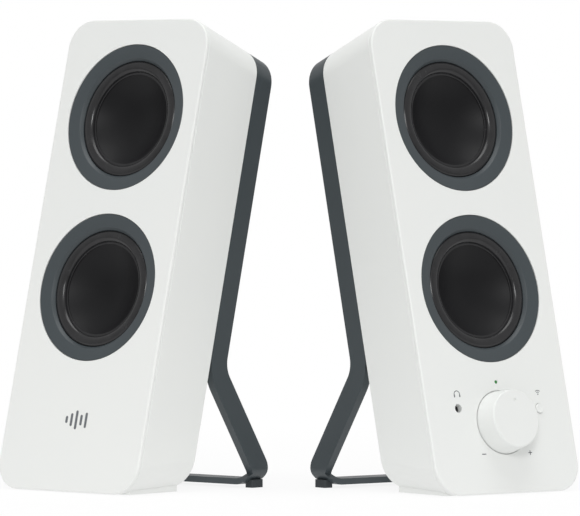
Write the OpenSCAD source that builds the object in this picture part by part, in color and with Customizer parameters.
// A pair of desktop speakers: two tilted cabinets, each on a bent loop stand.
// Every cabinet is drawn in its own frame (X across, Y to the back, Z up, the
// bottom edge of the face above the origin) and then placed on the desk.

/* [Cabinet] */
// Width of a cabinet and of its stand
width = 93; // [90:0.5:98]
// Length of the face, measured up its slope
face_length = 243; // [238:1:250]
// Lean of the face from upright
tilt = 13.8; // [10:0.1:16]
// Corner radius of the face
corner = 14.5; // [12:0.5:18]
// Depth of the cabinet, square to the face
cabinet_depth = 41.5; // [40.5:0.5:46]
// How far the bottom has risen along the face's direction at the rear
rise_bottom = 12; // [10:0.5:14]
// How far the top has dropped at the rear
drop_top = 5.8; // [4:0.2:7]
// Wall of the mouldings
wall = 2.6; // [2.2:0.1:3]
// Depth of the front moulding's edge
panel_depth = 2.2; // [2:0.1:2.6]
// Height of the face's bottom edge above the desk
lift = 0.4; // [0.4:0.1:1]

/* [Stand] */
// Thickness of the stand's strip
strip = 4.2; // [3.8:0.1:4.4]
// Width of the stand's strip, which is its depth behind the cabinet
band = 12.1; // [11.5:0.1:12.5]
// Lean of the legs from upright
leg_angle = 33.9; // [33:0.1:35]
// Height of the knee, where the strip's front edge turns into the legs
knee_height = 58.7; // [57:0.1:60]
// Radius of the knee on its inner, rear side
knee_round = 12.5; // [10:0.5:15]
// Thickness of the crossbar
bar = 3.1; // [2.8:0.1:3.4]
// Height of the crossbar's underside
bar_height = 1.6; // [1.4:0.1:2]

/* [Drivers] */
// Outer radius of the trim rings
ring_radius = 37.6; // [37.4:0.1:38]
// Inner radius of the trim rings
ring_bore = 29.9; // [29.8:0.1:30.1]
// Place of the lower driver up the face
lower_driver = 104.4; // [103:0.1:106]
// Place of the upper driver up the face
upper_driver = 192.1; // [190:0.1:193]
// Radius of a cone at its rim
cone_radius = 24.2; // [24:0.1:24.4]
// Depth of a cone below its rim
cone_sag = 9; // [7:0.5:9.5]
// Radius of the voice coil's former
coil_radius = 10; // [9.9:0.05:10.1]

/* [Controls] */
// Radius of the volume knob at its base
knob_radius = 15.8; // [14:0.1:16]
// Height of the volume knob above the face
knob_height = 11.3; // [9:0.1:13]
// Radius of a plug's bore in the 3.5 mm sockets
plug_radius = 1.75; // [1.75:0.01:1.8]
// Radius of the pairing button
button_radius = 2.4; // [2.2:0.1:2.6]

/* [Placing] */
// Place of the left cabinet's face on the desk
left_place = [-112.06, -41.42];
// Place of the right cabinet's face on the desk
right_place = [111.15, -43.52];
// Turn of the left cabinet
left_turn = -39.7; // [-45:0.1:-30]
// Turn of the right cabinet
right_turn = 38.1; // [30:0.1:45]

/* [Hidden] */
PIECES = [
    "front_panel", "cabinet_shell", "rear_cover", "stand_frame", "base_plinth", "rubber_feet",
    "upper_trim_ring", "lower_trim_ring", "driver_basket", "gaskets", "surround", "cone",
    "voice_coil", "spider", "magnet", "pole_pieces", "radiator_frame", "radiator_surround",
    "radiator_cone", "radiator_mass", "driver_screws", "case_screws"
];
$fn = 64;

paper_white = [0.90, 0.91, 0.90];
slate = [0.27, 0.30, 0.33];
soft_black = [0.10, 0.10, 0.11];
steel = [0.72, 0.73, 0.75];
board_green = [0.10, 0.32, 0.20];
eps = 0.02;

// Heights above the face, along its outward normal
ring_top = -0.2;
ring_bend = -1.5;
ring_lip = -3.2;
flange_top = -3.9;
land_top = -4.4;
land_bottom = -4.9;
flange_bottom = -5.1;
seat = -5.9;
seat_back = -8;
rim = -4.8;
cone_wall = 0.8;
neck_bottom = -15.2;
spider_height = -16;
basket_floor = -19.8;
motor_top = -21;
plate = 3;
magnet_height = 8;
front_board = -14;
rear_board = -22;
board = 1.6;
cover_front = -(cabinet_depth - 2.5);
cover_rear = -(cabinet_depth - 0.3);

// Radii of the driver's parts
bend_radius = 31.3;
flange_radius = 36.4;
seat_bore = 32.3;
land_radius = 31.8;
roll_outer = 30.2;
screw_circle = 34;
magnet_radius = 22.5;

// Places of the controls on the face and of the sockets on the rear cover
knob_place = [0.5, 36];
led_place = [0.5, 56.6];
headphone_place = [-26.3, 43.9];
button_place = [26.1, 42.4];
tone_place = [0, 64];
power_place = [-26, 40];
line_places = [[-8, 40], [5, 40]];
outlet_place = [25, 40];
gland_place = [0, 40];

// Screws: across the cabinet and up it, with the level their heads sit on
screw_across = 38.8;
frame_screw_heights = [135, 218];
cover_screw_heights = [28, 80];
flange_rear = -(cabinet_depth + 2.5);
flange_width = 8.5;
post_length = 21;
ring_start = 90;

foot_place = [43.5, 95.8];
foot_size = [5.4, 8.6];
foot_top = 4;
foot_round = 7.9;
bar_step = 4;
shin = 5.5;
inner_round = 4;
plinth_width = 77;
plinth_front = 6;
plinth_rear = 42;
plinth_bottom = 0.3;
pad_places = [for (x = [-30, 30], y = [20, 36]) [x, y]];

// --- outlines and frames ---

// Lays the face's frame (across, up the slope, outwards) on the cabinet's frame
module on_face(at = [0, 0], height = 0) {
    translate([0, 0, lift]) rotate([90 - tilt, 0, 0]) translate([at[0], at[1], height]) children();
}

module at_driver(up) { on_face([0, up]) children(); }

module rounded_rect(w, l, r) {
    square([w - 2 * r, l], center = true);
    square([w, l - 2 * r], center = true);
    for (x = [-1, 1], y = [-1, 1]) translate([x * (w / 2 - r), y * (l / 2 - r)]) circle(r);
}

function bottom_at(depth) = rise_bottom * depth / cabinet_depth;
function top_at(depth) = face_length - drop_top * depth / cabinet_depth;

// A thin slice of the tapering body at one depth behind the face
module body_slice(depth, inset = 0) {
    low = bottom_at(depth);
    high = top_at(depth);
    translate([0, (low + high) / 2, -depth])
        linear_extrude(eps)
            rounded_rect(width - 2 * inset, high - low - 2 * inset, corner - inset, $fn = 48);
}

module body_block(from, to, inset = 0) {
    hull() {
        body_slice(from + eps, inset);
        body_slice(to, inset);
    }
}

// One corner of an outline as an arc of the given radius
function unit(v) = v / norm(v);
function arc_corner(before, tip, after, r, steps = 10) =
    let (a = unit(before - tip), b = unit(after - tip))
    let (half = acos(a * b) / 2, reach = r / tan(half))
    let (centre = tip + unit(a + b) * r / sin(half))
    let (p = tip + a * reach - centre, q = tip + b * reach - centre)
    let (start = atan2(p[1], p[0]), turn = (atan2(q[1], q[0]) - start + 540) % 360 - 180)
    [for (i = [0 : steps]) centre + r * [cos(start + turn * i / steps), sin(start + turn * i / steps)]];

// A point of the cabinet's side view, as [back, up]
function side_point(depth, up) =
    [up * sin(tilt) + depth * cos(tilt), lift + up * cos(tilt) - depth * sin(tilt)];

module ring(outer, inner, low, high) {
    translate([0, 0, low]) difference() {
        cylinder(r = outer, h = high - low);
        translate([0, 0, -1]) cylinder(r = inner, h = high - low + 2);
    }
}

module rod(r, low, high) { translate([0, 0, low]) cylinder(r = r, h = high - low); }

module around(count, radius, start = 45) {
    for (i = [0 : count - 1]) rotate([0, 0, start + i * 360 / count]) translate([radius, 0, 0]) children();
}

// --- cabinet ---

module front_panel(right) {
    color(paper_white) on_face() difference() {
        union() {
            hull() {
                body_slice(eps, 1.1);
                body_slice(1.1);
                body_slice(panel_depth);
            }
            difference() {
                body_block(panel_depth - 0.2, 6, wall + 0.2);
                body_block(3, 7, wall + 2.2);
            }
            for (up = [lower_driver, upper_driver])
                translate([0, up, 0]) rod(ring_radius + 3, seat_back, -2);
            if (right) translate(knob_place) rod(8, -4.5, -2);
        }
        for (up = [lower_driver, upper_driver]) translate([0, up, 0]) {
            rod(seat_bore, seat_back - 1, 1);
            rod(ring_radius + 0.2, seat, 1);
            around(4, screw_circle) rod(1, seat_back - 1, 0);
        }
        if (right) {
            translate(knob_place) { rod(knob_radius + 0.5, -0.8, 1); rod(4, -5, 1); }
            translate(led_place) rod(0.95, -5, 1);
            translate(headphone_place) rod(2.7, -5, 1);
            translate(button_place) rod(button_radius + 0.3, -5, 1);
        }
    }
}

module screw_posts(r, from, to) {
    for (x = [-1, 1], up = concat(frame_screw_heights, cover_screw_heights))
        translate([x * screw_across, up, 0]) rod(r, from, to);
}

module cabinet_shell() {
    color(paper_white) on_face() difference() {
        union() {
            difference() {
                body_block(panel_depth + 0.4, cabinet_depth);
                body_block(panel_depth, cabinet_depth + 1, wall);
            }
            screw_posts(3.6, cover_front, cover_front + post_length);
            for (x = [-1, 1], up = concat(frame_screw_heights, cover_screw_heights))
                translate([x * (screw_across + 3.8), up, cover_front + post_length / 2])
                    cube([4, 2.4, post_length], center = true);
        }
        screw_posts(1.45, cover_front - 1, cover_front + 14);
    }
}

module rear_cover(right) {
    color(paper_white) on_face() difference() {
        body_block(-cover_front, -cover_rear, wall + 0.2);
        screw_posts(1.6, cover_rear - 1, cover_front + 1);
        if (right) {
            for (at = line_places) translate(at) rod(4.1, cover_rear - 1, cover_front + 1);
            translate(power_place) rod(5.1, cover_rear - 1, cover_front + 1);
            translate(outlet_place) rod(5.1, cover_rear - 1, cover_front + 1);
            translate(tone_place) rod(3.6, cover_rear - 1, cover_front + 1);
        } else {
            translate(gland_place) rod(4.1, cover_rear - 1, cover_front + 1);
        }
    }
}

// The wedge under the cabinet, cut to the cabinet's underside
module base_plinth() {
    color(paper_white) difference() {
        rotate([90, 0, 90]) linear_extrude(plinth_width, center = true) polygon([
            [plinth_front, plinth_bottom], [plinth_rear, plinth_bottom],
            [plinth_rear, plinth_bottom + 6.5], [plinth_front, plinth_bottom + 4]
        ]);
        on_face() body_block(panel_depth, cabinet_depth + 1, -0.15);
        for (at = pad_places) translate([at[0], at[1], -1]) cylinder(r = 4, h = 1.6);
    }
}

// --- stand ---

// Side view of the strip, as [back, up]: the band, the knee, the legs and the crossbar
function leg_profile() =
    let (slope = tan(leg_angle))
    let (behind_band = [cos(tilt), -sin(tilt)], behind_leg = [cos(leg_angle), sin(leg_angle)])
    let (front_knee = side_point(cabinet_depth, (knee_height - lift + cabinet_depth * sin(tilt)) / cos(tilt)))
    let (rear_knee = front_knee + band * (behind_band + behind_leg) / (1 + behind_band * behind_leg))
    let (front_top = side_point(cabinet_depth, ring_start + 6))
    let (rear_top = side_point(cabinet_depth + band, ring_start + 6))
    let (front_foot = front_knee + (knee_height - bar_height - shin) * [slope, -1])
    let (rear_foot = rear_knee + (rear_knee[1] - bar_height) * [slope, -1])
    let (bar_front = front_foot[0] - bar_step)
    concat(
        [front_top],
        arc_corner(front_top, front_knee, front_foot, knee_round + band),
        [front_foot, [bar_front, bar_height + bar], [bar_front, bar_height]],
        arc_corner([bar_front, bar_height], rear_foot, rear_knee, foot_round),
        arc_corner(rear_foot, rear_knee, rear_top, knee_round),
        [rear_top]
    );

// The legs and the crossbar: the side view met by the loop's front view
module legs() {
    intersection() {
        rotate([90, 0, 90]) linear_extrude(width, center = true) polygon(leg_profile());
        translate([0, 150, bar_height]) rotate([90, 0, 0]) linear_extrude(150) difference() {
            translate([0, 80]) rounded_rect(width, 160, inner_round + strip);
            translate([0, 80 + bar]) rounded_rect(width - 2 * strip, 160, inner_round);
        }
    }
}

module stand_frame() {
    color(slate) union() {
        on_face() difference() {
            union() {
                difference() {
                    body_block(cabinet_depth, cabinet_depth + band);
                    body_block(cabinet_depth - 1, cabinet_depth + band + 1, strip);
                }
                difference() {
                    body_block(-cover_rear, -flange_rear, wall + 0.2);
                    body_block(-cover_rear - 1, -flange_rear + 1, strip + flange_width);
                }
            }
            translate([-width, -face_length, -2 * cabinet_depth])
                cube([2 * width, face_length + ring_start, 2 * cabinet_depth]);
            screw_posts(1.6, -100, 0);
        }
        legs();
    }
}

// Boots round the lower corners of the stand, and round pads under the plinth
module rubber_feet() {
    color(soft_black) {
        difference() {
            for (x = [-1, 1]) translate([x * foot_place[0], foot_place[1], 0])
                linear_extrude(foot_top) rounded_rect(foot_size[0], foot_size[1], 1.2);
            legs();
        }
        for (at = pad_places) translate([at[0], at[1], 0]) cylinder(r = 4, h = 0.6);
    }
}

// --- drivers ---

// A ring that dips towards the cone and ends in a steep lip
module trim_ring(up) {
    color(slate) at_driver(up) difference() {
        rotate_extrude() polygon([
            [ring_bore + 0.9, flange_top], [ring_radius, flange_top], [ring_radius, ring_top - 0.3],
            [ring_radius - 0.3, ring_top], [bend_radius, ring_bend], [ring_bore, ring_lip],
            [ring_bore, ring_lip - 0.2]
        ]);
        around(4, screw_circle) rod(2.3, flange_top - 1, -2.5);
    }
}

module gaskets() {
    color(soft_black) for (up = [lower_driver, upper_driver]) at_driver(up) difference() {
        ring(flange_radius - 0.2, seat_bore + 0.1, seat, flange_bottom);
        around(4, screw_circle) rod(1.2, seat - 1, 0);
    }
}

module driver_basket() {
    color(steel) at_driver(upper_driver) difference() {
        rotate_extrude() polygon([
            [flange_radius, flange_top], [land_radius + 0.1, flange_top], [land_radius + 0.1, land_bottom],
            [29.9, land_bottom], [25.4, -14.5], [25.4, spider_height - 0.6], [23.6, spider_height - 0.6],
            [23.6, basket_floor], [12.5, basket_floor], [12.5, motor_top], [24.8, motor_top],
            [24.8, spider_height - 1.8], [26.6, spider_height - 1.8], [26.6, -15], [31.9, flange_bottom],
            [flange_radius, flange_bottom]
        ]);
        around(4, screw_circle) rod(1.1, seat, 0);
        around(4, 28, 0) translate([-6, -9, -14]) cube([12, 18, 8]);
    }
}

// Half-roll suspension between the fixed land and the moving cone
function roll(bulge, drop) = [for (i = [0 : 12]) let (a = i * 15, mix = i / 12)
    [(roll_outer + cone_radius) / 2 + bulge * cos(a),
     land_top * (1 - mix) + rim * mix - drop + bulge * 0.7 * sin(a)]];

module surround(up) {
    half = (roll_outer - cone_radius) / 2;
    color(soft_black) at_driver(up) rotate_extrude() polygon(concat(
        [[land_radius, land_bottom], [land_radius, land_top]],
        roll(half, 0),
        [[cone_radius - 1, rim], [cone_radius - 1, rim - 0.5]],
        [for (i = [12 : -1 : 0]) roll(half - 0.5, 0.5)[i]]
    ));
}

module cone(up) {
    face = [for (i = [0 : 16]) let (r = (cone_radius - 1.2) * i / 16)
        [r, rim - 0.5 - cone_sag * (1 - pow(i / 16, 2))]];
    color(soft_black) at_driver(up) {
        rotate_extrude() polygon(concat(
            face,
            [[cone_radius - 0.1, rim - 0.55], [cone_radius - 0.1, rim - 0.55 - cone_wall]],
            [for (i = [16 : -1 : 0]) face[i] - [0, cone_wall]]
        ));
        ring(coil_radius + 0.7, coil_radius, neck_bottom, rim - cone_sag + 1);
    }
}

module voice_coil() {
    color([0.75, 0.45, 0.25]) at_driver(upper_driver) rotate_extrude() polygon([
        [coil_radius - 0.35, neck_bottom + 0.6], [coil_radius, neck_bottom + 0.6],
        [coil_radius, motor_top + 1.5], [coil_radius + 0.25, motor_top + 1.5],
        [coil_radius + 0.25, motor_top - 4.5], [coil_radius - 0.35, motor_top - 4.5]
    ]);
}

module spider() {
    color([0.72, 0.58, 0.32]) at_driver(upper_driver)
        ring(25.2, coil_radius + 0.05, spider_height - 0.6, spider_height);
}

module pole_pieces() {
    color(steel) at_driver(upper_driver) {
        ring(magnet_radius - 0.5, coil_radius + 0.65, motor_top - plate, motor_top);
        rotate_extrude() polygon([
            [0, motor_top], [coil_radius - 0.75, motor_top],
            [coil_radius - 0.75, motor_top - plate - magnet_height],
            [magnet_radius - 0.5, motor_top - plate - magnet_height],
            [magnet_radius - 0.5, motor_top - 2 * plate - magnet_height],
            [0, motor_top - 2 * plate - magnet_height]
        ]);
    }
}

module magnet() {
    color([0.25, 0.25, 0.27]) at_driver(upper_driver)
        ring(magnet_radius, coil_radius + 2, motor_top - plate - magnet_height, motor_top - plate);
}

module radiator_frame() {
    color(soft_black) at_driver(lower_driver) difference() {
        rotate_extrude() polygon([
            [flange_radius, flange_top], [land_radius + 0.1, flange_top], [land_radius + 0.1, land_bottom],
            [29.6, land_bottom], [29.6, -9], [31, -9], [31.9, flange_bottom],
            [flange_radius, flange_bottom]
        ]);
        around(4, screw_circle) rod(1.1, seat, 0);
    }
}

module radiator_mass() {
    color(steel) at_driver(lower_driver) rod(coil_radius + 2, neck_bottom - 3, neck_bottom);
}

// --- fasteners ---

module screw(head_radius, head_height, shank_radius, length) {
    difference() {
        rod(head_radius, 0, head_height);
        for (turn = [0, 90]) rotate([0, 0, turn])
            translate([-head_radius * 0.6, -0.3, head_height * 0.45]) cube([head_radius * 1.2, 0.6, 5]);
    }
    rod(shank_radius, -length, 0.01);
}

module driver_screws() {
    color(steel) for (up = [lower_driver, upper_driver])
        at_driver(up) around(4, screw_circle) translate([0, 0, flange_top]) screw(1.9, 1.2, 1, 4);
}

module case_screws() {
    color(soft_black) on_face() for (x = [-1, 1]) {
        for (up = frame_screw_heights)
            translate([x * screw_across, up, flange_rear]) rotate([180, 0, 0]) screw(2.8, 2, 1.45, 14);
        for (up = cover_screw_heights)
            translate([x * screw_across, up, cover_rear]) rotate([180, 0, 0]) screw(2.8, 2, 1.45, 11.5);
    }
}

// --- right cabinet's controls, boards and sockets ---

module volume_knob() {
    color(paper_white) on_face(knob_place) difference() {
        rotate_extrude() polygon([
            [2.95, -0.5], [knob_radius, -0.5], [knob_radius, 0.8], [knob_radius - 1, knob_height - 1.2],
            [knob_radius - 1.6, knob_height - 0.3], [knob_radius - 2.2, knob_height],
            [0, knob_height], [0, knob_height - 3], [2.95, knob_height - 3]
        ]);
        ring(knob_radius - 3.5, 6, -1, 6);
        translate([0.6, 9.4, 0]) rod(0.75, knob_height - 0.4, knob_height + 1);
    }
}

module volume_shaft() {
    color(steel) on_face(knob_place) rod(2.95, -8, knob_height - 3);
}

module volume_pot() {
    color(steel) on_face(knob_place) difference() {
        union() {
            rod(3.9, -8, -0.9);
            translate([-8, -8, front_board]) cube([16, 16, 6]);
        }
        rod(3, -8.1, 1);
    }
}

module led_lens() { color([0.45, 0.85, 0.35]) on_face(led_place) rod(0.85, front_board, 0.1); }

module pair_button() {
    color(paper_white) on_face(button_place) {
        rod(button_radius, -3.4, 0.8);
        rod(button_radius + 1, -4.4, -3.4);
        rod(1.2, front_board + 1.2, -4.4);
    }
}

module headphone_jack() {
    color(soft_black) on_face(headphone_place) difference() {
        union() {
            rod(2.6, -5, 0.1);
            translate([-4.5, -4.5, front_board]) cube([9, 9, -4.9 - front_board]);
        }
        rod(plug_radius, front_board + 0.1, 1);
    }
}

module control_board() {
    color(board_green) on_face([0, 36], front_board - board)
        translate([-37, -22, 0]) cube([74, 44, board]);
}

module amplifier_board() {
    color(board_green) on_face([0, 48], rear_board - board)
        translate([-34.5, -22, 0]) cube([69, 44, board]);
}

module rear_socket(at, size, neck, bore, out) {
    on_face(at) difference() {
        union() {
            translate([-size / 2, -size / 2, cover_front]) cube([size, size, rear_board - board - cover_front]);
            rod(neck, cover_rear - out, cover_front + 0.01);
        }
        rod(bore, cover_rear - out - 1, rear_board - board - 2);
    }
}

module line_in_jacks() {
    color(soft_black) for (at = line_places) rear_socket(at, 10, 4, plug_radius, 0.3);
}

module power_inlet() {
    color(soft_black) rear_socket(power_place, 11, 5, 2.9, 0.3);
    color(steel) on_face(power_place) rod(1, cover_rear + 1, rear_board - board - 2);
}

module speaker_outlet() {
    color(steel) rear_socket(outlet_place, 12, 5, 1.65, 0.5);
    color(steel) on_face(outlet_place) ring(4.15, 1.65, cover_rear - 9, cover_rear - 0.49);
}

module tone_pot() {
    color(steel) on_face(tone_place) difference() {
        union() {
            translate([-5, -4, cover_front]) cube([10, 10, rear_board - board - cover_front]);
            rod(3.5, cover_rear - 0.3, cover_front + 0.01);
        }
        rod(2, cover_rear - 1, cover_front + 6);
    }
}

module tone_knob() {
    color(soft_black) on_face(tone_place) {
        rod(1.95, cover_rear - 1, cover_front + 5);
        difference() {
            rod(7, cover_rear - 9, cover_rear - 1);
            around(18, 7.3, 0) rod(0.6, cover_rear - 10, cover_rear - 2);
            translate([-0.4, 3, cover_rear - 10]) cube([0.8, 5, 1.4]);
        }
    }
}

// --- left cabinet's lead entry ---

module lead_gland() {
    color(soft_black) on_face(gland_place) difference() {
        union() {
            rod(4, cover_rear - 0.01, cover_front + 3);
            rod(5.5, cover_rear - 2, cover_rear);
        }
        rod(1.9, cover_rear - 3, cover_front + 4);
    }
}

// --- placing ---

module satellite(side) {
    place = side == "left" ? left_place : right_place;
    translate([place[0], place[1], 0]) rotate([0, 0, side == "left" ? left_turn : right_turn]) children();
}

for (side = ["left", "right"]) {
    satellite(side) front_panel(side == "right");
    satellite(side) cabinet_shell();
    satellite(side) rear_cover(side == "right");
    satellite(side) stand_frame();
    satellite(side) base_plinth();
    satellite(side) rubber_feet();
    satellite(side) trim_ring(upper_driver);
    satellite(side) trim_ring(lower_driver);
    satellite(side) driver_basket();
    satellite(side) gaskets();
    satellite(side) surround(upper_driver);
    satellite(side) cone(upper_driver);
    satellite(side) voice_coil();
    satellite(side) spider();
    satellite(side) magnet();
    satellite(side) pole_pieces();
    satellite(side) radiator_frame();
    satellite(side) surround(lower_driver);
    satellite(side) cone(lower_driver);
    satellite(side) radiator_mass();
    satellite(side) driver_screws();
    satellite(side) case_screws();
}
satellite("left") lead_gland();  // left_lead_gland
satellite("right") volume_knob();
satellite("right") volume_shaft();
satellite("right") volume_pot();
satellite("right") led_lens();
satellite("right") pair_button();
satellite("right") headphone_jack();
satellite("right") control_board();
satellite("right") amplifier_board();
satellite("right") tone_knob();
satellite("right") tone_pot();
satellite("right") power_inlet();
satellite("right") line_in_jacks();
satellite("right") speaker_outlet();
